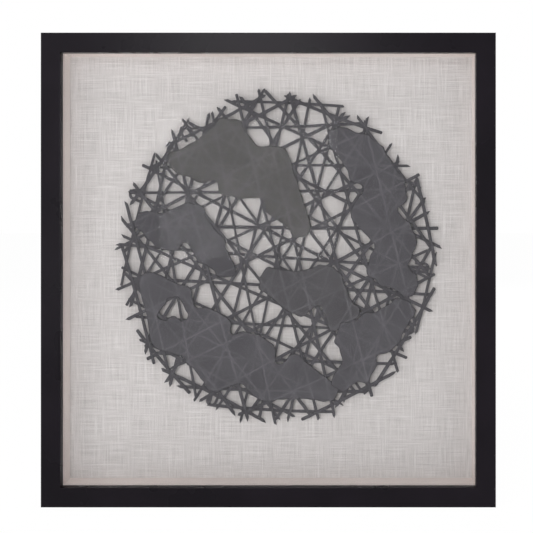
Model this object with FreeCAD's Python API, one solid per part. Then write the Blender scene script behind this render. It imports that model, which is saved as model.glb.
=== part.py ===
import FreeCAD, Part

import math
import os
import random

from FreeCAD import Placement, Rotation, Vector

# A shadow-box frame with a disc of crossed, cut paper strips and solid paper patches, raised
# in front of a linen ground. X runs to the right seen from the front, Y from the front to the
# back, Z up. The origin is the middle of the bottom edge, halfway through the depth.

# Frame moulding
frame_width = 600.0
frame_height = 626.0
face_width = 26.0
lip_overlap = 6.0
lip_thickness = 10.0
back_recess = 3.2
arris_radius = 0.8

# Pack in the rabbet, from the front to the back
rabbet_clearance = 1.0
glass_thickness = 2.0
spacer_depth = 27.0
spacer_thickness = 5.0
spacer_clearance = 0.5
spacer_arris = 1.2
linen_thickness = 0.6
linen_turn_in = 25.0
board_thickness = 3.0
panel_thickness = 3.0
cover_thickness = 0.3
cover_inset = 3.0

# Fasteners in the moulding
v_nail_leg = 7.0
v_nail_gauge = 0.8
v_nail_depth = 10.0
v_nail_outer_place = 4.0
v_nail_inner_place = 10.5
point_width = 10.0
point_gauge = 0.6
point_bite = 7.0
point_reach = 11.0
points_per_side = 3

# Keyhole hangers, their screws and the felt pads that meet the wall
hanger_drop = 70.0
hanger_inset = 9.0
hanger_width = 14.0
hanger_length = 44.0
hanger_gauge = 1.5
keyhole_radius = 4.75
keyhole_slot_width = 5.0
keyhole_rise = 11.0
pocket_margin = 1.0
pocket_depth = 8.0
notch_clearance = 1.5
screw_spacing = 34.0
screw_head_radius = 3.0
screw_shank_radius = 1.5
screw_head_height = 1.2
screw_length = 14.0
felt_radius = 5.0
felt_thickness = 3.0
felt_inset = 11.0

# Clear linen between the window and the rim of the paper disc
left_margin = 70.0
right_margin = 50.0
top_margin = 50.0
bottom_margin = 77.0

# Paper strips, in layers that each lie across the one behind
pad_thickness = 8.0
pad_side = 28.0
pad_places = [
    (-0.47, -0.46), (-0.17, -0.60), (0.55, 0.60), (0.76, 0.10), (-0.22, 0.52), (-0.44, 0.60), (0.64, -0.46),
    (0.13, -0.21), (-0.70, 0.16),
]
strip_thickness = 0.35
strip_width = 4.1
strip_width_spread = 0.6
strip_clearance = 0.8
strip_bow = 2.6
least_bow = 0.8
bow_share = 0.017
layer_turns = (0, 3, 6, 2, 5, 1, 4)
layer_turn_spread = 5.0
long_strips = 9
long_strip_reach = 0.80
layer_shift = 0.035
rim_strip_place = 0.93
outermost_place = 0.975
longest_tip = 0.03
shortest_tip = -0.07
strip_seed = 11

# Strip ends, in half widths of the strip
pointed_share = 0.75
point_lengths = (1.2, 3.0)
point_lean = 0.9
round_end = 0.5

# Bent paper pieces glued behind the rim
hairpin_span = 15.0
hairpin_leg = 13.0
hairpin_width = 3.6
hairpin_count = 6

# Solid paper patches in front of the strips
patch_thickness = 0.5
patch_fill_radius = 5.0
patch_reach = 0.96
edge_lobe_count = 4
edge_lobe_drift = 0.9
edge_lobe_sizes = (0.34, 0.5)
edge_lobe_sinking = (0.35, 0.8)
snip_deflection = 0.45

body_width = face_width - lip_overlap
glass_front = lip_thickness
spacer_front = glass_front + glass_thickness
linen_front = spacer_front + spacer_depth
board_front = linen_front + linen_thickness
turn_in_front = board_front + board_thickness
panel_front = turn_in_front + linen_thickness
point_front = panel_front + panel_thickness
rail_depth = point_front + point_gauge + back_recess
felt_front = rail_depth + cover_thickness
total_depth = felt_front + felt_thickness
front_y = -total_depth / 2

disc_half_width = frame_width / 2 - face_width - (left_margin + right_margin) / 2
disc_half_height = frame_height / 2 - face_width - (top_margin + bottom_margin) / 2
disc_x = (left_margin - right_margin) / 2
disc_z = frame_height / 2 + (bottom_margin - top_margin) / 2
strips_front = linen_front - pad_thickness - strip_thickness * len(layer_turns)

nodes = {}


def at(x, depth, z):
    """A point at this depth behind the front of the frame."""
    return Vector(x, front_y + depth, z)


def block(x_low, x_high, front, back, z_low, z_high):
    return Part.makeBox(x_high - x_low, back - front, z_high - z_low, at(x_low, front, z_low))


def closed_face(edges):
    return Part.Face(Part.Wire(Part.__sortEdges__(edges)))


def polygon(corners, depth):
    points = [at(x, depth, z) for x, z in corners]
    return Part.Face(Part.makePolygon(points + points[:1]))


def prism(face, thickness):
    return face.extrude(Vector(0, thickness, 0))


def group(solids):
    return Part.makeCompound(solids)


# Each side of the frame is drawn as the bottom one, with its outer edge on the X axis
sides = {
    "bottom": (0, Vector(0, 0, 0), frame_width),
    "top": (180, Vector(0, 0, frame_height), frame_width),
    "left": (90, Vector(-frame_width / 2, 0, frame_height / 2), frame_height),
    "right": (-90, Vector(frame_width / 2, 0, frame_height / 2), frame_height),
}


def on_side(shape, side):
    turn, place, _ = sides[side]
    placed = shape.copy()
    placed.Placement = Placement(place, Rotation(Vector(0, 1, 0), turn)).multiply(placed.Placement)
    return placed


# Rails of the moulding, mitred at both ends
def moulding_section(x):
    corners = [
        (0, 0, arris_radius),
        (0, face_width, arris_radius),
        (lip_thickness, face_width, 0),
        (lip_thickness, body_width, 0),
        (rail_depth, body_width, 0),
        (rail_depth, 0, 0),
    ]
    edges = []
    starts = []
    for place, (depth, z, radius) in enumerate(corners):
        before = at(x, corners[place - 1][0], corners[place - 1][1])
        after = at(x, *corners[(place + 1) % len(corners)][:2])
        corner = at(x, depth, z)
        if radius:
            way_in = (before - corner).normalize() * radius
            way_out = (after - corner).normalize() * radius
            middle = corner + (way_in + way_out) * (1 - math.sqrt(0.5))
            edges.append(Part.Arc(corner + way_in, middle, corner + way_out).toShape())
            starts.append((corner + way_in, corner + way_out))
        else:
            starts.append((corner, corner))
    for place, (_, leaving) in enumerate(starts):
        arriving = starts[(place + 1) % len(starts)][0]
        edges.append(Part.LineSegment(leaving, arriving).toShape())
    return closed_face(edges)


def rail(length):
    bar = moulding_section(-length / 2).extrude(Vector(length, 0, 0))
    half = length / 2
    mitred = [(-half, 0), (half, 0), (half - face_width, face_width), (face_width - half, face_width)]
    return bar.common(prism(polygon(mitred, 0), rail_depth)).Solids[0]


rails = {side: on_side(rail(sides[side][2]), side) for side in sides}


# V-nails, pressed into the back of each mitre with one leg in each rail
def v_nail(side_x, side_z, place):
    tip = place + v_nail_leg
    thick = place + v_nail_gauge
    bend = [(place, place), (tip, place), (tip, thick), (thick, thick), (thick, tip), (place, tip)]
    corner_x = side_x * frame_width / 2
    corner_z = frame_height / 2 + side_z * frame_height / 2
    corners = [(corner_x - side_x * x, corner_z - side_z * z) for x, z in bend]
    return prism(polygon(corners, rail_depth - v_nail_depth), v_nail_depth)


v_nails = [
    v_nail(side_x, side_z, place)
    for side_x in (-1, 1)
    for side_z in (-1, 1)
    for place in (v_nail_outer_place, v_nail_inner_place)
]
nodes["corner_v_nails"] = group(v_nails)

# Glass against the lip
opening_x = frame_width / 2 - body_width
opening_low = body_width
opening_high = frame_height - body_width


def filling(front, thickness, clearance):
    """A sheet that fills the rabbet with this clearance at each edge."""
    reach = opening_x - clearance
    low = opening_low + clearance
    high = opening_high - clearance
    return block(-reach, reach, front, front + thickness, low, high)


nodes["glass_pane"] = filling(glass_front, glass_thickness, rabbet_clearance)


# Pale box liner: strips that hold the glass off the linen, the long pair between the others
def spacer(length):
    low = body_width + spacer_clearance
    strip = block(-length / 2, length / 2, spacer_front, linen_front, low, low + spacer_thickness)
    arris = [
        edge
        for edge in strip.Edges
        if abs(edge.CenterOfMass.y - front_y - spacer_front) < 1e-6
        and abs(edge.CenterOfMass.z - low - spacer_thickness) < 1e-6
    ]
    return strip.makeFillet(spacer_arris, arris)


across = 2 * (opening_x - spacer_clearance)
upright = frame_height - 2 * (body_width + spacer_clearance + spacer_thickness)
for side, length in (("bottom", across), ("top", across), ("left", upright), ("right", upright)):
    nodes[f"box_spacer_{side}"] = on_side(spacer(length), side)

# Mount board with linen stretched over its front and turned in behind
covered = rabbet_clearance + linen_thickness
nodes["mount_board"] = filling(board_front, board_thickness, covered)
wrap = filling(linen_front, board_thickness + 2 * linen_thickness, rabbet_clearance)
turned = rabbet_clearance + linen_turn_in
nodes["linen_cover"] = wrap.cut(nodes["mount_board"]).cut(
    filling(turn_in_front, linen_thickness, turned)
)

nodes["back_panel"] = filling(panel_front, panel_thickness, rabbet_clearance)

# Flat steel points that hold the pack in, driven into the wall of the rabbet
points = []
for side in sides:
    for count in range(points_per_side):
        middle = sides[side][2] * ((count + 1) / (points_per_side + 1) - 0.5)
        point = block(
            middle - point_width / 2,
            middle + point_width / 2,
            point_front,
            point_front + point_gauge,
            body_width - point_bite,
            body_width + point_reach,
        )
        points.append(on_side(point, side))
nodes["retaining_points"] = group(points)


# Keyhole hangers, each over a pocket routed in the back of a side rail
def slot_face(x, z_low, z_high, radius, depth):
    low = at(x, depth, z_low)
    high = at(x, depth, z_high)
    side = Vector(radius, 0, 0)
    down = Vector(0, 0, radius)
    return closed_face([
        Part.Arc(low - side, low - down, low + side).toShape(),
        Part.LineSegment(low + side, high + side).toShape(),
        Part.Arc(high + side, high + down, high - side).toShape(),
        Part.LineSegment(high - side, low - side).toShape(),
    ])


def screw_body(x, z):
    """A pan-head wood screw whose head bears on the back of a hanger."""
    seat = rail_depth + hanger_gauge
    rearwards = Vector(0, 1, 0)
    head = Part.makeCylinder(screw_head_radius, screw_head_height, at(x, seat, z), rearwards)
    shank = Part.makeCylinder(screw_shank_radius, screw_length, at(x, seat - screw_length, z), rearwards)
    return head.fuse(shank).removeSplitter().Solids[0]


screws = []
hangers = []
hanger_z = frame_height - hanger_drop
for side, sign in (("left", -1), ("right", 1)):
    x = sign * (frame_width / 2 - hanger_inset)
    end = hanger_length / 2 - hanger_width / 2
    slot_top = hanger_z + keyhole_rise
    plate_middle = hanger_z + keyhole_rise / 2 - keyhole_radius / 4
    outline = slot_face(x, plate_middle - end, plate_middle + end, hanger_width / 2, rail_depth)
    plate = prism(outline, hanger_gauge)
    entry = Part.makeCylinder(keyhole_radius, hanger_gauge, at(x, rail_depth, hanger_z), Vector(0, 1, 0))
    slot = prism(slot_face(x, hanger_z, slot_top, keyhole_slot_width / 2, rail_depth), hanger_gauge)
    plate = plate.cut(entry).cut(slot)
    pocket_radius = keyhole_radius + pocket_margin
    pocket_front = rail_depth - pocket_depth
    pocket = prism(slot_face(x, hanger_z, slot_top, pocket_radius, pocket_front), pocket_depth)
    rails[side] = rails[side].cut(pocket)
    for z in (plate_middle - screw_spacing / 2, plate_middle + screw_spacing / 2):
        body = screw_body(x, z)
        plate = plate.cut(body)
        rails[side] = rails[side].cut(body)
        screws.append(body)
    hangers.append(plate.removeSplitter())
nodes["keyhole_hangers"] = group(hangers)
nodes["hanger_screws"] = group(screws)

# Kraft paper dust cover, glued to the backs of the rails and notched round the hangers
cover_reach = frame_width / 2 - cover_inset
cover = block(-cover_reach, cover_reach, rail_depth, felt_front, cover_inset, frame_height - cover_inset)
notch_reach = frame_width / 2 - hanger_inset - hanger_width / 2 - notch_clearance
notch_half = hanger_length / 2 + notch_clearance
for sign in (-1, 1):
    ends = sorted((sign * notch_reach, sign * frame_width / 2))
    low = plate_middle - notch_half
    high = plate_middle + notch_half
    cover = cover.cut(block(*ends, rail_depth, felt_front, low, high))
nodes["dust_cover"] = cover


# Felt pads on the lower corners
felt_pads = []
for sign in (-1, 1):
    foot = at(sign * (frame_width / 2 - felt_inset), felt_front, felt_inset)
    felt_pads.append(Part.makeCylinder(felt_radius, felt_thickness, foot, Vector(0, 1, 0)))
nodes["felt_wall_pads"] = group(felt_pads)

# Seats for the fasteners in the rails
for side in sides:
    for fastener in v_nails + points:
        if rails[side].BoundBox.intersect(fastener.BoundBox):
            rails[side] = rails[side].cut(fastener)
    nodes[f"frame_{side}_rail"] = rails[side].removeSplitter()


def disc_point(across_share, up_share, depth):
    """A point of the disc, in shares of its half width and half height."""
    return at(disc_x + across_share * disc_half_width, depth, disc_z + up_share * disc_half_height)


# Paper strips: each layer holds strips that run nearly the same way and never touch
chance = random.Random(strip_seed)


def strip_end(tip, outward, half):
    """The cut end of a strip: snipped to a point, or rounded by the scissors."""
    if chance.random() < pointed_share:
        point = tip + outward * half.Length * chance.uniform(*point_lengths)
        point += half * chance.uniform(-point_lean, point_lean)
        return [
            Part.LineSegment(tip - half, point).toShape(),
            Part.LineSegment(point, tip + half).toShape(),
        ]
    return [Part.Arc(tip - half, tip + outward * half.Length * round_end, tip + half).toShape()]


def strip(start, end, width, bow):
    way = (end - start).normalize()
    sideways = Vector(-way.z, 0, way.x)
    middle = (start + end) / 2 + sideways * bow
    half = sideways * (width / 2)
    edges = [
        Part.Arc(start - half, middle - half, end - half).toShape(),
        Part.Arc(end + half, middle + half, start + half).toShape(),
    ]
    edges += strip_end(end, way, half)
    edges += strip_end(start, way * -1, half * -1)
    return prism(closed_face(edges), strip_thickness)


def strip_places():
    """Where a layer's strips cross the middle of the disc, in shares of its half width."""
    step = 2 * long_strip_reach / (long_strips - 1)
    shift = chance.uniform(-layer_shift, layer_shift)
    inner = [shift + step * count - long_strip_reach for count in range(long_strips)]
    return [-rim_strip_place, *inner, rim_strip_place]


def strip_layer(turn, depth):
    angle = math.radians(turn)
    places = strip_places()
    needed = strip_width + strip_width_spread + strip_clearance + 2 * strip_bow
    layer = []
    tips = []
    for count, place in enumerate(places):
        near = places[max(count - 1, 0):count] + places[count + 1:count + 2]
        gap = min(abs(place - other) for other in near)
        sway = max((gap - needed / disc_half_width) / 2, 0)
        ends = []
        for sign in (-1, 1):
            offset = place + chance.uniform(-sway, sway)
            offset = max(min(offset, outermost_place), -outermost_place)
            reach = sign * (math.sqrt(1 - offset ** 2) + chance.uniform(shortest_tip, longest_tip))
            ends.append(disc_point(
                reach * math.cos(angle) - offset * math.sin(angle),
                reach * math.sin(angle) + offset * math.cos(angle),
                depth,
            ))
        length = (ends[1] - ends[0]).Length
        most_bow = min(strip_bow, max(length * bow_share, least_bow))
        bow = chance.choice((-1, 1)) * chance.uniform(least_bow, most_bow)
        width = strip_width + chance.uniform(-1, 1) * strip_width_spread
        layer.append(strip(ends[0], ends[1], width, bow))
        tips += ends
    return layer, tips


rear_tips = []
turn_step = 180 / len(layer_turns)
for count, order in enumerate(layer_turns):
    turn = order * turn_step + chance.uniform(-layer_turn_spread, layer_turn_spread)
    rear = linen_front - pad_thickness - strip_thickness * (count + 1)
    layer, tips = strip_layer(turn, rear)
    rear_tips = rear_tips or tips
    nodes[f"paper_strips_layer_{count + 1}"] = group(layer)


# Hairpins: short strips bent double, glued behind the tips of the rearmost layer
def hairpin(tip):
    outer = hairpin_span / 2
    inner = outer - hairpin_width
    depth = linen_front - pad_thickness
    crown = outer - hairpin_width / 2
    edges = [
        Part.Arc(at(-outer, depth, -crown), at(0, depth, outer - crown), at(outer, depth, -crown)).toShape(),
        Part.Arc(at(-inner, depth, -crown), at(0, depth, inner - crown), at(inner, depth, -crown)).toShape(),
    ]
    foot = -crown - hairpin_leg
    for sign in (-1, 1):
        edges.append(Part.LineSegment(at(sign * outer, depth, -crown), at(sign * outer, depth, foot)).toShape())
        edges.append(Part.LineSegment(at(sign * inner, depth, -crown), at(sign * inner, depth, foot)).toShape())
        edges.append(Part.LineSegment(at(sign * outer, depth, foot), at(sign * inner, depth, foot)).toShape())
    bent = prism(closed_face(edges), strip_thickness)
    outward = math.degrees(math.atan2(tip.x - disc_x, tip.z - disc_z))
    place = Vector(tip.x, 0, tip.z)
    bent.Placement = Placement(place, Rotation(Vector(0, 1, 0), outward))
    return bent


spread = len(rear_tips) / hairpin_count
nodes["paper_hairpins"] = group([hairpin(rear_tips[int(count * spread)]) for count in range(hairpin_count)])


# Solid patches: lobes along a spine, joined by tapered necks, with small lobes round their
# edges and the creases filled round, cut out in short straight snips. Each lobe is
# (across, up, radius) in shares of the disc.
def lobe_face(lobe, depth):
    centre = disc_point(lobe[0], lobe[1], depth)
    circle = Part.Circle(centre, Vector(0, 1, 0), lobe[2] * disc_half_width)
    return Part.Face(Part.Wire(circle.toShape()))


def neck_face(lobe, following, depth):
    start = disc_point(lobe[0], lobe[1], depth)
    end = disc_point(following[0], following[1], depth)
    way = end - start
    heading = math.atan2(way.z, way.x)
    lean = math.acos((lobe[2] - following[2]) * disc_half_width / way.Length)
    corners = []
    for centre, radius, turn in (
        (start, lobe[2], lean),
        (start, lobe[2], -lean),
        (end, following[2], -lean),
        (end, following[2], lean),
    ):
        reach = radius * disc_half_width
        corners.append(centre + Vector(reach * math.cos(heading + turn), 0, reach * math.sin(heading + turn)))
    return Part.Face(Part.makePolygon(corners + corners[:1]))


def edge_lobes(lobe):
    """Small lobes that stand a little proud of a large one and stay inside the rim."""
    small_lobes = []
    for count in range(edge_lobe_count):
        turn = 2 * math.pi * (count + chance.uniform(0, edge_lobe_drift)) / edge_lobe_count
        radius = lobe[2] * chance.uniform(*edge_lobe_sizes)
        reach = lobe[2] - radius * chance.uniform(*edge_lobe_sinking)
        small = (lobe[0] + reach * math.cos(turn), lobe[1] + reach * math.sin(turn), radius)
        if math.hypot(small[0], small[1]) + radius < patch_reach:
            small_lobes.append(small)
    return small_lobes


def patch_slab(lobes, depth):
    faces = [lobe_face(lobe, depth) for lobe in lobes]
    faces += [lobe_face(small, depth) for lobe in lobes for small in edge_lobes(lobe)]
    faces += [neck_face(lobe, following, depth) for lobe, following in zip(lobes, lobes[1:])]
    slabs = [prism(face, patch_thickness) for face in faces]
    joined = slabs[0].fuse(slabs[1:]).removeSplitter()
    outline = max(joined.Faces, key=lambda face: face.Area).OuterWire
    filled = outline.makeOffset2D(patch_fill_radius).makeOffset2D(-patch_fill_radius)
    snips = filled.Wires[0].discretize(Deflection=snip_deflection)
    return prism(polygon([(snip.x, snip.z) for snip in snips[:-1]], depth), patch_thickness)


# Each patch: how many patches lie behind it, then its lobes
patches = {
    "right": (0, [
        (0.40, 0.72, 0.08), (0.55, 0.60, 0.13), (0.70, 0.42, 0.11), (0.60, 0.28, 0.13), (0.76, 0.10, 0.12),
        (0.68, -0.04, 0.11), (0.82, -0.16, 0.07),
    ]),
    "lower_left": (0, [
        (-0.80, -0.16, 0.08), (-0.68, -0.30, 0.155), (-0.72, -0.47, 0.09), (-0.47, -0.46, 0.17),
        (-0.38, -0.66, 0.13), (-0.17, -0.60, 0.15), (-0.08, -0.77, 0.10), (0.12, -0.73, 0.12),
        (0.30, -0.80, 0.07),
    ]),
    "top": (0, [
        (-0.60, 0.58, 0.08), (-0.44, 0.60, 0.14), (-0.31, 0.76, 0.09), (-0.22, 0.52, 0.17),
        (-0.02, 0.58, 0.10), (0.03, 0.36, 0.12), (0.14, 0.20, 0.07),
    ]),
    "centre": (0, [(-0.04, -0.14, 0.08), (0.13, -0.21, 0.135), (0.31, -0.13, 0.09), (0.40, -0.34, 0.10)]),
    "left": (0, [
        (-0.84, 0.22, 0.06), (-0.70, 0.16, 0.12), (-0.56, 0.25, 0.09), (-0.45, 0.08, 0.10),
        (-0.33, -0.06, 0.06),
    ]),
    "lower_right": (1, [
        (0.78, -0.32, 0.08), (0.64, -0.46, 0.13), (0.46, -0.47, 0.09), (0.52, -0.64, 0.10),
        (0.40, -0.74, 0.06),
    ]),
}
patch_hole = [(-0.72, -0.34, 0.035), (-0.65, -0.29, 0.05), (-0.60, -0.35, 0.03)]
for name, (patches_behind, lobes) in patches.items():
    front = strips_front - (patches_behind + 1) * patch_thickness
    patch = patch_slab(lobes, front)
    if name == "lower_left":
        patch = patch.cut(patch_slab(patch_hole, front))
    nodes[f"paper_patch_{name}"] = patch

# Foam-board pads that raise the disc off the linen, out of sight behind the patches
pads = []
for across_share, up_share in pad_places:
    middle = disc_point(across_share, up_share, 0)
    half = pad_side / 2
    rear = linen_front - pad_thickness
    pads.append(block(middle.x - half, middle.x + half, rear, linen_front, middle.z - half, middle.z + half))
nodes["raising_pads"] = group(pads)

os.makedirs("parts", exist_ok=True)
for name, shape in nodes.items():
    shape.exportStep(f"parts/{name}.step")
    print(name, len(shape.Solids), "solids", round(shape.Volume / 1000, 2), "cm3", shape.isValid())
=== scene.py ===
import math

import bmesh
import bpy
from mathutils import Matrix, Vector, noise
from mathutils.bvhtree import BVHTree
from mathutils.kdtree import KDTree


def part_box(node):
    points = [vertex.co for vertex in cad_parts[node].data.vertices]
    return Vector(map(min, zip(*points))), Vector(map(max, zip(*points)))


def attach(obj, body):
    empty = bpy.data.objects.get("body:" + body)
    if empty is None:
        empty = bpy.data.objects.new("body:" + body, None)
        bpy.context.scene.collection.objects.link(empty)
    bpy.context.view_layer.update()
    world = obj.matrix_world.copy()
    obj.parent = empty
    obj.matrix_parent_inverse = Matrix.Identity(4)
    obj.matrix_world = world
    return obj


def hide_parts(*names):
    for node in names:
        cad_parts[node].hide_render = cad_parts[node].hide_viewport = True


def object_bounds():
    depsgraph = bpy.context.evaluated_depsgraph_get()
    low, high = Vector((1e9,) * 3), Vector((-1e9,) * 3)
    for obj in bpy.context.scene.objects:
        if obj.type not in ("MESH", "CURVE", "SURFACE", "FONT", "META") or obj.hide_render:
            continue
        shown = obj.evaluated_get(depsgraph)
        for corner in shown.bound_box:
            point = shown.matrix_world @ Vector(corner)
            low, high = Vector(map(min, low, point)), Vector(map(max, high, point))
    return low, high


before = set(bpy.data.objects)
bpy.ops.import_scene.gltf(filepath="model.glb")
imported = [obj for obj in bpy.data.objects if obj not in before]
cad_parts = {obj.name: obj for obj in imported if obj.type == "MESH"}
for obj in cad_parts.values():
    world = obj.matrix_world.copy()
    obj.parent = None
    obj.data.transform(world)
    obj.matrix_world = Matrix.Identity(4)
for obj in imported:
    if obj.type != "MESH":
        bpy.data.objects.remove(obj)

cad_box = [list(corner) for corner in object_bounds()]


# Camera and light. The lens looks straight at the glass from right of the middle and a little above
# it, with a crossing and falling shift, so the left liner and the bottom liner show. Soft lamps
# stand in front, left and right, and small ones put the highlights on the black rails.
lens = 54.0
sensor = 36.0
distance = 1.0535
shift_across = -0.15
shift_up = -0.13
eye_right = 0.103
eye_height = 0.409
eye = Vector((eye_right, cad_box[0][1] - distance, eye_height))

camera = bpy.data.objects.new("camera", bpy.data.cameras.new("camera"))
bpy.context.scene.collection.objects.link(camera)
camera.data.lens = lens
camera.data.sensor_width = sensor
camera.data.shift_x = shift_across
camera.data.shift_y = shift_up
camera.location = eye
camera.rotation_euler = (math.pi / 2, 0, 0)
bpy.context.scene.camera = camera
bpy.context.scene.view_settings.view_transform = "Standard"

middle = Vector((0, 0, 0.31))


def soft_lamp(name, place, size, power):
    lamp = bpy.data.objects.new(name, bpy.data.lights.new(name, "AREA"))
    lamp.data.shape = "RECTANGLE"
    lamp.data.size, lamp.data.size_y = size
    lamp.data.energy = power
    lamp.location = place
    lamp.rotation_euler = (middle - Vector(place)).to_track_quat("-Z", "Y").to_euler()
    bpy.context.scene.collection.objects.link(lamp)


soft_lamp("lamp_front", (-0.17, -1.2, 0.43), (0.5, 0.4), 6.3)
soft_lamp("lamp_left", (-2.3, -2.2, 1.3), (1.2, 1.0), 14)
soft_lamp("lamp_high", (-0.3, -2.2, 1.12), (0.7, 0.25), 7)
soft_lamp("lamp_right", (1.9, -1.6, 0.7), (0.8, 1.4), 4)
soft_lamp("lamp_low_left", (-1.0, -1.6, 0.05), (0.5, 0.3), 0.9)
soft_lamp("lamp_over", (-0.19, -0.75, 2.1), (1.4, 0.1), 3)
soft_lamp("lamp_behind", (0.4, 2.4, 1.4), (1.6, 1.2), 18)


# The room and the floor. Both are white where the camera, a mirror or glass sees them, and otherwise
# give only a low even light, so the object isn't bleached and keeps its shadow.
room_strength = 0.24
floor_reach = 8
floor_strength = 0.5
floor_white_share = 0.95
floor_white = 0.9


class Value:
    """A node's output, on which +, - and * add Math nodes."""

    def __init__(self, nodes, socket):
        self.nodes = nodes
        self.socket = socket

    def maths(self, operation, *values):
        return self.nodes.node("ShaderNodeMath", {"operation": operation}, dict(enumerate(values)))

    def __add__(self, other):
        return self.maths("ADD", self, other)

    def __sub__(self, other):
        return self.maths("SUBTRACT", self, other)

    def __rsub__(self, other):
        return self.maths("SUBTRACT", other, self)

    def __mul__(self, other):
        return self.maths("MULTIPLY", self, other)

    __radd__ = __add__
    __rmul__ = __mul__

    def step(self, low, high):
        """0 below low and 1 above high, with a soft rise between."""
        settings = {"interpolation_type": "SMOOTHSTEP"}
        return self.nodes.node("ShaderNodeMapRange", settings, {0: self, 1: low, 2: high})


class Nodes:
    """The nodes of a material or of the room, and the one method that adds to them."""

    def __init__(self, tree):
        self.tree = tree

    def node(self, kind, settings, values, output=0):
        made = self.tree.nodes.new(kind)
        for setting, value in settings.items():
            setattr(made, setting, value)
        for key, value in values.items():
            if isinstance(value, Value):
                self.tree.links.new(value.socket, made.inputs[key])
            else:
                made.inputs[key].default_value = value
        return Value(self, made.outputs[output])

    def seen(self):
        """1 where the camera, a mirror or glass looks, and 0 for the light on the object."""
        kinds = ("Is Camera Ray", "Is Glossy Ray", "Is Transmission Ray")
        looks, mirrored, through = [self.node("ShaderNodeLightPath", {}, {}, kind) for kind in kinds]
        return looks.maths("MAXIMUM", looks.maths("MAXIMUM", looks, mirrored), through)


class Finish(Nodes):
    """A material of one shader, with the patterns that vary it."""

    def __init__(self, name, **constants):
        self.material = bpy.data.materials.new(name)
        self.material.use_nodes = True
        super().__init__(self.material.node_tree)
        self.shader = self.tree.nodes["Principled BSDF"]
        for socket, value in constants.items():
            self.shader.inputs[socket.replace("_", " ")].default_value = value

    def place(self):
        return self.node("ShaderNodeTexCoord", {}, {}, "Object")

    def cloudy(self, scale, detail=3.0, stretch=(1, 1, 1), shift=(0, 0, 0)):
        """Noise of the given number of cells in a metre, stretched by the three factors."""
        where = self.node("ShaderNodeMapping", {}, {0: self.place(), 1: shift, 3: stretch})
        values = {"Vector": where, "Scale": scale, "Detail": detail}
        return self.node("ShaderNodeTexNoise", {}, values)

    def mixed(self, factor, first, second):
        values = {0: factor, 6: first, 7: second}
        return self.node("ShaderNodeMix", {"data_type": "RGBA"}, values, 2)

    def bump(self, height, strength, distance):
        values = {"Strength": strength, "Distance": distance, "Height": height}
        return self.node("ShaderNodeBump", {}, values)

    def feed(self, **links):
        for socket, value in links.items():
            self.tree.links.new(value.socket, self.shader.inputs[socket.replace("_", " ")])


def colour(red, green, blue):
    """A colour as a photograph's numbers give it, turned into the light it stands for."""
    levels = [level / 255 for level in (red, green, blue)]
    lights = [((level + 0.055) / 1.055) ** 2.4 if level > 0.04 else level / 12.92 for level in levels]
    return (*lights, 1)


world = bpy.data.worlds.new("pale_room")
bpy.context.scene.world = world
world.use_nodes = True
room = Nodes(world.node_tree)
low_light = room.tree.nodes["Background"]
low_light.inputs["Color"].default_value = (1, 1, 1, 1)
low_light.inputs["Strength"].default_value = room_strength
low = Value(room, low_light.outputs[0])
white = room.node("ShaderNodeBackground", {}, {"Color": (1, 1, 1, 1), "Strength": 1.0})
choice = room.node("ShaderNodeMixShader", {}, {0: room.seen(), 1: low, 2: white})
room.tree.links.new(choice.socket, room.tree.nodes["World Output"].inputs["Surface"])

floor_shape = bmesh.new()
bmesh.ops.create_grid(floor_shape, x_segments=1, y_segments=1, size=floor_reach)
floor_mesh = bpy.data.meshes.new("floor")
floor_shape.to_mesh(floor_mesh)
floor = bpy.data.objects.new("floor", floor_mesh)
bpy.context.scene.collection.objects.link(floor)
floor_paint = Finish(
    "pale_floor",
    Base_Color=(floor_white, floor_white, floor_white, 1),
    Roughness=0.9,
    Specular_IOR_Level=0.1,
    Emission_Color=(1, 1, 1, 1),
    Emission_Strength=floor_strength,
)
floor_mesh.materials.append(floor_paint.material)
glow = floor_paint.node("ShaderNodeEmission", {}, {"Color": (1, 1, 1, 1), "Strength": 1.0})
lit = Value(floor_paint, floor_paint.shader.outputs[0])
share = floor_paint.seen() * floor_white_share
shown = floor_paint.node("ShaderNodeMixShader", {}, {0: share, 1: lit, 2: glow})
floor_paint.tree.links.new(shown.socket, floor_paint.tree.nodes["Material Output"].inputs["Surface"])


# The four rails. Each is a mitred length of wooden moulding, 26 mm wide on the face, sprayed in
# a satin black lacquer that lies smooth, with a faint orange peel and a little wear in its gloss.
def give(finish, *names):
    """Gives the finish to CAD nodes that keep their own shape."""
    for name in names:
        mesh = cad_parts[name].data
        mesh.materials.clear()
        mesh.materials.append(finish.material)


lacquer = Finish("satin_black_lacquer", Specular_IOR_Level=0.1)
orange_peel = lacquer.cloudy(420, 2)
handling = lacquer.cloudy(9, 4, shift=(3, 1, 7))
lacquer.feed(
    Base_Color=lacquer.mixed(handling.step(0.35, 0.7), colour(13, 9, 15), colour(20, 15, 22)),
    Roughness=handling * 0.12 + 0.22,
    Normal=lacquer.bump(orange_peel, 0.12, 0.0002),
)
give(lacquer, "frame_top_rail", "frame_bottom_rail", "frame_left_rail", "frame_right_rail")


# The glass pane. It is clear picture glass, 2 mm thick, held behind the lip of the rails, and it
# shows only as a faint veil.
glass = Finish("clear_picture_glass", Base_Color=colour(104, 108, 106), Roughness=0.03, Alpha=0.03)
give(glass, "glass_pane")


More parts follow.
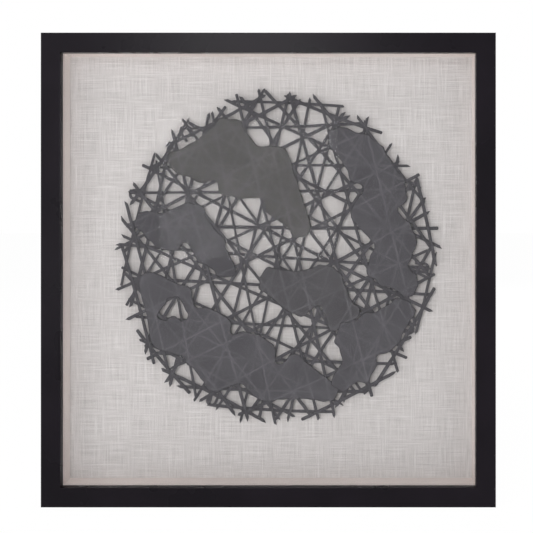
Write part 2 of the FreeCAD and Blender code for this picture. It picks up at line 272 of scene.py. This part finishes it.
# The box liner. Four strips of board wrapped in a warm grey paper stand between the glass and the
# linen. Their front arris is a little rounded and has a painted highlight, and just behind it a band
# of painted shade stands for the shadow of the rails' lip.
arris_highlight_end = (0.0008, 0.0016)
lip_shade_start = (0.0010, 0.0020)
lip_shade_end = (0.0028, 0.0050)
liner = Finish("warm_grey_liner_paper", Roughness=0.85, Specular_IOR_Level=0.2)
fibres = liner.cloudy(700, 3)
blotches = liner.cloudy(14, 3)
liner_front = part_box("box_spacer_top")[0][1]
depth = liner.node("ShaderNodeSeparateXYZ", {}, {0: liner.place()}, "Y") - liner_front
# Painted highlight along the front arris, and painted shade in a band just behind it where the lip of
# the rails shadows the liner.
arris_painted_highlight = 1 - depth.step(*arris_highlight_end)
lip_painted_shade = depth.step(*lip_shade_start) * (1 - depth.step(*lip_shade_end))
paper_colour = liner.mixed(blotches.step(0.3, 0.7), colour(221, 211, 207), colour(228, 218, 214))
with_lip_shade = liner.mixed(lip_painted_shade * 0.45, paper_colour, colour(150, 132, 128))
liner.feed(
    Base_Color=liner.mixed(arris_painted_highlight * 0.8, with_lip_shade, colour(240, 230, 227)),
    Normal=liner.bump(fibres, 0.15, 0.0002),
)
give(liner, "box_spacer_top", "box_spacer_bottom", "box_spacer_left", "box_spacer_right")


# The linen. A slubby natural cloth, bleached pale, is stretched over the mount board and turned
# round its edges. Its threads are uneven, so thick and thin ones run through it both ways.
linen_grid = 0.02
threads_per_metre = 950
thread_changes = 26
slubs_per_metre = 560
slub_changes = 15
slub_share = (0.54, 0.72)
merge_reach = 1e-6
flat_angle = 0.01


def cad_shape(node):
    """A merged copy of a CAD node's mesh, with its flat faces whole."""
    shape = bmesh.new()
    shape.from_mesh(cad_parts[node].data)
    bmesh.ops.remove_doubles(shape, verts=shape.verts, dist=merge_reach)
    bmesh.ops.dissolve_limit(shape, angle_limit=flat_angle, verts=shape.verts, edges=shape.edges)
    return shape


def cut_across(shape, way, spacing):
    """Cuts the shape every so often along a direction."""
    spans = [vert.co.dot(way) for vert in shape.verts]
    place = min(spans) + spacing
    while place < max(spans):
        parts = shape.verts[:] + shape.edges[:] + shape.faces[:]
        bmesh.ops.bisect_plane(
            shape, geom=parts, dist=merge_reach, plane_co=way * place, plane_no=way
        )
        place += spacing


def piece(name, shape, finish, *stands_for):
    """Makes the shape a piece that rides on the frame and stands for its CAD nodes."""
    mesh = bpy.data.meshes.new(name)
    shape.to_mesh(mesh)
    shape.free()
    mesh.materials.append(finish.material)
    made = bpy.data.objects.new(name, mesh)
    bpy.context.scene.collection.objects.link(made)
    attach(made, "root")
    if stands_for:
        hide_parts(*stands_for)
    return made


linen = Finish("slubby_bleached_linen", Roughness=0.92, Specular_IOR_Level=0.12)
warp = linen.cloudy(1, 3, stretch=(threads_per_metre, 1, thread_changes))
weft = linen.cloudy(1, 3, stretch=(thread_changes, 1, threads_per_metre), shift=(5, 0, 9))
warp_slubs = linen.cloudy(1, 2, stretch=(slubs_per_metre, 1, slub_changes), shift=(2, 0, 4))
weft_slubs = linen.cloudy(1, 2, stretch=(slub_changes, 1, slubs_per_metre), shift=(8, 0, 1))
threads = warp + weft
thick = [slub.step(*slub_share) for slub in (warp_slubs, weft_slubs)]
slubs = warp_slubs.maths("MAXIMUM", *thick)
shade = (threads * 0.5 - 0.12).step(0.18, 0.62)
ground = linen.mixed(shade, colour(174, 169, 168), colour(208, 204, 203))
linen.feed(
    Base_Color=linen.mixed(slubs * 0.5, ground, colour(214, 211, 210)),
    Normal=linen.bump(threads + slubs * 0.8, 0.35, 0.0004),
)
cloth = cad_shape("linen_cover")
for way in (Vector((1, 0, 0)), Vector((0, 0, 1))):
    cut_across(cloth, way, linen_grid)
linen_ground = piece("linen_ground", cloth, linen, "linen_cover")


# The mount board and the raising pads. Grey board backs the linen, and nine square foam pads
# glued to it hold the paper disc off the cloth.
board = Finish("grey_mount_board", Roughness=0.9)
board_grain = board.cloudy(300, 3)
board.feed(Base_Color=board.mixed(board_grain, colour(120, 119, 116), colour(142, 140, 136)))
give(board, "mount_board")
foam = Finish("white_foam_board", Roughness=0.8)
foam_cells = foam.cloudy(900, 2)
foam.feed(Base_Color=foam.mixed(foam_cells, colour(206, 205, 202), colour(226, 225, 222)))
give(foam, "raising_pads")


# The paper strips. Straight strips about 4 mm wide are cut by hand from dark grey paper and glued
# across each other in seven layers, so their edges waver and their tips are unevenly pointed.
# A narrow band along the edges of the strips is painted darker as shade.
strip_rim = 0.0008
strip_crown = 0.00006
strip_snip = 0.004
strip_waver = 0.0004
waver_size = 0.009
waver_in_depth = 0.15
faces_front = -0.9
cutting_seed = 11
noise.seed_set(cutting_seed)
strip_layers = [f"paper_strips_layer_{number}" for number in range(1, 8)]

paper = Finish("dark_grey_strip_paper", Roughness=0.82, Specular_IOR_Level=0.15)
pulp = paper.cloudy(1400, 3)
sheets = paper.cloudy(22, 3)
# The rim band is painted shade: the paper darkens towards near black along its edges.
painted_edge_shade = paper.node("ShaderNodeAttribute", {"attribute_name": "painted_edge_shade"}, {}, "Fac")
face_colour = paper.mixed(sheets.step(0.3, 0.7), colour(65, 63, 67), colour(75, 73, 77))
fibred = paper.mixed(pulp.step(0.35, 0.75) * 0.2, face_colour, colour(88, 86, 89))
paper.feed(
    Base_Color=paper.mixed(painted_edge_shade * 0.5, fibred, colour(36, 35, 38)),
    Normal=paper.bump(pulp, 0.3, 0.0002),
)


def waver(shape, amount, size):
    """Moves the points a little in the plane of the paper, as cutting by hand leaves an edge."""
    for vert in shape.verts:
        wander = noise.noise_vector(vert.co / size)
        vert.co += Vector((wander.x, waver_in_depth * wander.y, wander.z)) * amount


def crowned(shape, width, rise):
    """Raises the front faces inside a narrow rim and marks the rim, which the finish paints darker as
    shade.
    """
    edge_shade_mark = shape.verts.layers.float.new("painted_edge_shade")
    for vert in shape.verts:
        vert[edge_shade_mark] = 1.0
    shape.normal_update()
    front = [face for face in shape.faces if face.normal.y < faces_front]
    bmesh.ops.inset_region(shape, faces=front, thickness=width, depth=0)
    for vert in {vert for face in front for vert in face.verts}:
        vert[edge_shade_mark] = 0.0
        vert.co.y -= rise


centre_lines = []
for name in strip_layers:
    strips = cad_shape(name)
    side = max(strips.edges, key=lambda edge: edge.calc_length())
    way = (side.verts[1].co - side.verts[0].co).normalized()
    cut_across(strips, way, strip_snip)
    strips.normal_update()
    middles = [face.calc_center_median() for face in strips.faces if face.normal.y < faces_front]
    line = KDTree(len(middles))
    for count, spot in enumerate(middles):
        line.insert((spot.x, 0, spot.z), count)
    line.balance()
    centre_lines.append((line, way))
    crowned(strips, strip_rim, strip_crown)
    waver(strips, strip_waver, waver_size)
    layer = piece(name.replace("paper_strips", "cut_strips"), strips, paper, name)


# The hairpins. A few short strips at the rim of the disc are bent double round a pencil-thick
# loop and glued down under the others.
hairpin_rim = 0.0005
hairpin_waver = 0.0003
bent = cad_shape("paper_hairpins")
bmesh.ops.triangulate(bent, faces=[face for face in bent.faces if len(face.verts) > 4])
# The hairpins' rim band is painted darker as shade, as on the strips.
crowned(bent, hairpin_rim, strip_crown)
waver(bent, hairpin_waver, waver_size)
piece("bent_strips", bent, paper, "paper_hairpins")


# The solid patches. Six lobed pieces of the same paper lie over the strips, and where they are
# glued down the edges of the strips press through them as low ridges.
# The ridges are also painted lighter as a highlight, and the edges of the patches darker as shade.
patch_cell = 0.0011
ridge_height = 0.00025
ridge_reach = 0.0018
ridge_fading = 0.03
ridge_middle = 0.75
ridge_spread = 0.5
wall_slope = 0.5
patch_margin = 0.003
patch_waver = 0.0010
edge_pull = 0.004
edge_softening = 0.3
patch_tones = {
    "paper_patch_right": ((67, 65, 69), (74, 72, 76)),
    "paper_patch_lower_left": ((67, 65, 69), (75, 73, 77)),
    "paper_patch_top": ((64, 62, 62), (71, 69, 69)),
    "paper_patch_centre": ((67, 65, 68), (73, 71, 74)),
    "paper_patch_left": ((64, 62, 66), (71, 69, 73)),
    "paper_patch_lower_right": ((69, 67, 71), (76, 74, 78)),
}
ridge_strengths = (0.4, 0.45, 0.5, 0.55, 0.65, 0.75, 0.85)


def ridge_at(spot):
    """How far a strip behind the spot presses the paper up, from 0 to 1."""
    height = 0.0
    for strength, (line, way) in zip(ridge_strengths, centre_lines):
        near = line.find((spot.x, 0, spot.z))[0]
        gap = Vector((spot.x, 0, spot.z)) - near
        if abs(gap.dot(way)) < strip_snip:
            aside = abs(gap.x * way.z - gap.z * way.x)
            height = max(height, strength * max(1 - aside / ridge_reach, 0))
    return height * (ridge_middle + ridge_spread * noise.noise(spot / ridge_fading))


def patch_shape(node):
    """A fine grid in the patch's outline, pressed up over the strips and given its thickness."""
    solid = cad_shape(node)
    bmesh.ops.triangulate(solid, faces=solid.faces)
    whole = BVHTree.FromBMesh(solid)
    solid.normal_update()
    flats = [face for face in solid.faces if abs(face.normal.y) > wall_slope]
    bmesh.ops.delete(solid, geom=flats, context="FACES")
    walls = BVHTree.FromBMesh(solid)
    solid.free()
    low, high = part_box(node)
    width, height = high[0] - low[0], high[2] - low[2]
    sheet = bmesh.new()
    bmesh.ops.create_grid(
        sheet,
        x_segments=round(width / patch_cell) + 2,
        y_segments=round(height / patch_cell) + 2,
        size=0.5,
        matrix=Matrix.Rotation(math.pi / 2, 4, "X"),
    )
    centre = Vector(((low[0] + high[0]) / 2, low[1], (low[2] + high[2]) / 2))
    for vert in sheet.verts:
        across, up = vert.co.x * (width + patch_margin), vert.co.z * (height + patch_margin)
        vert.co = centre + Vector((across, 0, up))
    before, rearwards = Vector((0, 0.01, 0)), Vector((0, 1, 0))
    outside = [
        face for face in sheet.faces
        if whole.ray_cast(face.calc_center_median() - before, rearwards, 2 * before.y)[0] is None
    ]
    bmesh.ops.delete(sheet, geom=outside, context="FACES")
    depth = (low[1] + high[1]) / 2
    edge_verts = [vert for vert in sheet.verts if vert.is_boundary]
    for vert in edge_verts:
        near = walls.find_nearest(Vector((vert.co.x, depth, vert.co.z)), edge_pull)[0]
        if near is not None:
            vert.co.x, vert.co.z = near.x, near.z
    bmesh.ops.smooth_vert(
        sheet, verts=edge_verts, factor=edge_softening, use_axis_x=True, use_axis_z=True
    )
    # The patch's edge is marked for painted shade in the finish.
    edge_shade_mark = sheet.verts.layers.float.new("painted_edge_shade")
    ridge_mark = sheet.verts.layers.float.new("ridge")
    for vert in sheet.verts:
        vert[ridge_mark] = ridge_at(vert.co)
        vert[edge_shade_mark] = 1.0 if vert.is_boundary else 0.0
        if not vert.is_boundary:
            vert.co.y -= ridge_height * vert[ridge_mark]
    front = sheet.faces[:]
    for face in front:
        face.smooth = True
    back = bmesh.ops.extrude_face_region(sheet, geom=front, use_keep_orig=True)["geom"]
    for vert in [part for part in back if isinstance(part, bmesh.types.BMVert)]:
        vert.co.y = high[1]
    bmesh.ops.recalc_face_normals(sheet, faces=sheet.faces)
    waver(sheet, patch_waver, waver_size)
    return sheet


for node, (dark, light) in patch_tones.items():
    patch_paper = Finish(
        node.replace("paper_patch", "patch_paper"), Roughness=0.8, Specular_IOR_Level=0.15
    )
    pulp = patch_paper.cloudy(600, 4)
    sheets = patch_paper.cloudy(18, 3)
    ridge = patch_paper.node("ShaderNodeAttribute", {"attribute_name": "ridge"}, {}, "Fac")
    edge = patch_paper.node("ShaderNodeAttribute", {"attribute_name": "painted_edge_shade"}, {}, "Fac")
    smooth_colour = patch_paper.mixed(sheets.step(0.3, 0.7), colour(*dark), colour(*light))
    # Painted highlight on the ridges, lighter where a strip presses up behind the paper.
    ridges_painted_light = patch_paper.mixed(ridge * 0.55, smooth_colour, colour(118, 116, 120))
    fibred = patch_paper.mixed(pulp.step(0.4, 0.8) * 0.08, ridges_painted_light, colour(92, 91, 93))
    patch_paper.feed(
        # Painted shade along the patch's edge.
        Base_Color=patch_paper.mixed(edge * 0.6, fibred, colour(36, 35, 38)),
        Normal=patch_paper.bump(pulp, 0.05, 0.0001),
    )
    patch = piece(node.replace("paper_patch", "solid_patch"), patch_shape(node), patch_paper, node)


# The back panel. A sheet of brown hardboard closes the box behind the mount board, and flat steel
# points that are driven into the rails hold it there.
hardboard = Finish("brown_hardboard", Roughness=0.7)
hardboard.feed(
    Base_Color=hardboard.mixed(hardboard.cloudy(260, 4), colour(92, 66, 44), colour(122, 90, 62)),
    Normal=hardboard.bump(hardboard.cloudy(500, 3), 0.3, 0.0003),
)
give(hardboard, "back_panel")


# The dust cover. Brown kraft paper is glued round its margin to the back of the rails, to keep the
# dust out, and sags a little inside that margin.
glued_margin = 0.026
slack_reach = 0.05
cover_sag = 0.0011
cover_grid = 0.012
broad_waves = 0.11
small_wrinkles = 0.035
kraft = Finish("brown_kraft_paper", Roughness=0.75, Specular_IOR_Level=0.3)
kraft_fibres = kraft.cloudy(1, 4, stretch=(240, 1, 900))
kraft_blotches = kraft.cloudy(30, 4)
kraft_tone = (kraft_fibres * 0.6 + kraft_blotches * 0.4).step(0.3, 0.7)
kraft.feed(
    Base_Color=kraft.mixed(kraft_tone, colour(162, 127, 89), colour(178, 143, 103)),
    Normal=kraft.bump(kraft_fibres, 0.3, 0.0003),
)
cover = cad_shape("dust_cover")
for way in (Vector((1, 0, 0)), Vector((0, 0, 1))):
    cut_across(cover, way, cover_grid)
low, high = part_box("dust_cover")
for vert in cover.verts:
    inside = min(vert.co.x - low[0], high[0] - vert.co.x, vert.co.z - low[2], high[2] - vert.co.z)
    slack = min(max(inside - glued_margin, 0) / slack_reach, 1)
    wrinkle = 0.5 + noise.noise(vert.co / broad_waves) + 0.3 * noise.noise(vert.co / small_wrinkles)
    vert.co.y -= slack * cover_sag * wrinkle
for face in cover.faces:
    face.smooth = True
piece("kraft_cover", cover, kraft, "dust_cover")


# The steel. The retaining points, the V-nails that pull the mitres together and the two keyhole
# hangers are stamped from sheet steel and zinc plated.
steel = Finish("bright_zinc_steel", Metallic=1.0)
spangle = steel.cloudy(240, 3)
steel.feed(
    Base_Color=steel.mixed(spangle.step(0.35, 0.65), colour(176, 178, 181), colour(204, 206, 208)),
    Roughness=spangle * 0.2 + 0.26,
)
give(steel, "corner_v_nails", "retaining_points", "keyhole_hangers")


# The hanger screws. Four yellow zinc wood screws hold the hangers, with low round heads that are
# stamped with a cross for the driver.
recess_half_width = 0.00045
recess_half_length = 0.0016
recess_depth = 0.0008
head_radius = 0.003
head_edge = 0.0006
cut_reach = 1e-7
level_within = 1e-5
yellow_zinc = Finish("yellow_zinc_screws", Metallic=1.0)
screw_spangle = yellow_zinc.cloudy(600, 3)
yellow_zinc.feed(
    Base_Color=yellow_zinc.mixed(
        screw_spangle.step(0.3, 0.7), colour(176, 152, 98), colour(206, 186, 134)
    ),
    Roughness=screw_spangle * 0.2 + 0.24,
)
screws = cad_shape("hanger_screws")
head_top = max(vert.co.y for vert in screws.verts)


def on_top(head=None):
    """The flat top faces of the screw heads, or of the one head round a middle."""
    tops = [(face, face.calc_center_median()) for face in screws.faces]
    tops = [(face, spot) for face, spot in tops if spot.y > head_top - level_within]
    return [face for face, spot in tops if head is None or (spot - head).length < head_radius]


heads = [face.calc_center_median() for face in on_top()]
rims = [edge for face in on_top() for edge in face.edges]
bmesh.ops.bevel(
    screws, geom=rims, offset=head_edge, segments=3, profile=0.5, material=-1, affect="EDGES"
)
cuts = (-recess_half_length, -recess_half_width, recess_half_width, recess_half_length)
for head in heads:
    for way in (Vector((1, 0, 0)), Vector((0, 0, 1))):
        for place in cuts:
            tops = on_top(head)
            parts = dict.fromkeys(part for face in tops for part in (*face.verts, *face.edges))
            cut = {"geom": [*parts, *tops], "plane_co": head + way * place, "plane_no": way}
            bmesh.ops.bisect_plane(screws, dist=cut_reach, **cut)
cross = []
for head in heads:
    for face in on_top(head):
        aside = sorted(abs(step) for step in (face.calc_center_median() - head).xz)
        if aside[0] < recess_half_width and aside[1] < recess_half_length:
            cross.append(face)
sunk = bmesh.ops.extrude_face_region(screws, geom=cross)["geom"]
bmesh.ops.delete(screws, geom=[face for face in cross if face.is_valid], context="FACES_ONLY")
floor_verts = [part for part in sunk if isinstance(part, bmesh.types.BMVert)]
bmesh.ops.translate(screws, verts=floor_verts, vec=(0, -recess_depth, 0))
bmesh.ops.recalc_face_normals(screws, faces=screws.faces)
piece("cross_head_screws", screws, yellow_zinc, "hanger_screws")


# The wall pads. Two round pads are punched from grey felt and glued to the lower corners of the
# back, where they keep the frame off the wall.
felt_edge = 0.0007
felt_waver = 0.0003
felt_tufts = 0.004
sharp = 0.5
felt = Finish("grey_felt", Roughness=0.95, Sheen_Weight=0.4)
hairs = felt.cloudy(1500, 4)
felt.feed(
    Base_Color=felt.mixed(hairs.step(0.3, 0.7), colour(72, 71, 70), colour(112, 110, 108)),
    Normal=felt.bump(hairs, 0.8, 0.0004),
)
pads = cad_shape("felt_wall_pads")
felt_back = max(vert.co.y for vert in pads.verts)
worn_rims = [
    edge for edge in pads.edges
    if min(vert.co.y for vert in edge.verts) > felt_back - level_within
    and edge.calc_face_angle(0) > sharp
]
bmesh.ops.bevel(
    pads, geom=worn_rims, offset=felt_edge, segments=3, profile=0.5, material=-1, affect="EDGES"
)
waver(pads, felt_waver, felt_tufts)
piece("felt_discs", pads, felt, "felt_wall_pads")
